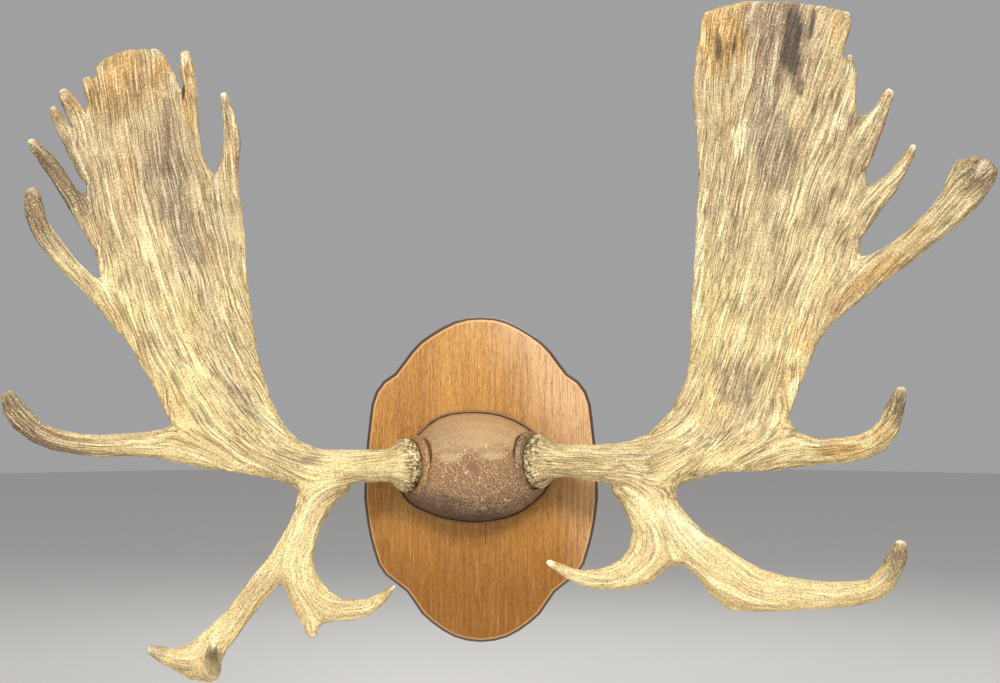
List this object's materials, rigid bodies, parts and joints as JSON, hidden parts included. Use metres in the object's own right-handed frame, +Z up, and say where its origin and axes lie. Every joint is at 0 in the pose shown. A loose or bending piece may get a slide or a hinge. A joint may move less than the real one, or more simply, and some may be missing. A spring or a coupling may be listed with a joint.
{
  "type": "mounted moose antlers",
  "caption": "Pair of palmate moose antlers on a leather-covered skull cap, fixed to a shaped oak board that hangs flat on a wall by a keyhole plate.",
  "frame": {"origin": "middle of the board's back face, the flat face that lies against the wall", "axes": "+Z up, +X to the right seen from the front, +Y into the wall; the antlers stand out towards -Y"},
  "size_m": [1.2986, 0.2922, 0.8854],
  "materials": {
    "antler_bone": "dry antler, straw coloured, streaked along the growth with brown pores and grooves",
    "oak": "honey oak with upright grain, satin varnish",
    "cap_leather": "crackled brown leather, worn yellowish on top",
    "welt_leather": "reddish brown rolled leather",
    "trim_cord": "dark whip-stitched edge",
    "steel": "zinc plated"
  },
  "bodies": {
    "root": {"board": "oak", "hanger_plate": "steel", "hanger_screw_left": "steel", "hanger_screw_right": "steel", "skull_cap": "cap_leather", "edge_trim": "trim_cord", "welt_left": "welt_leather", "welt_right": "welt_leather", "left_beam": "antler_bone", "left_palm": "antler_bone", "left_side_tine": "antler_bone", "left_brow_stem": "antler_bone", "left_brow_outer": "antler_bone", "left_brow_inner": "antler_bone", "right_beam": "antler_bone", "right_palm": "antler_bone", "right_side_tine": "antler_bone", "right_brow_stem": "antler_bone", "right_brow_outer": "antler_bone", "right_brow_inner": "antler_bone"}
  },
  "joints": []
}
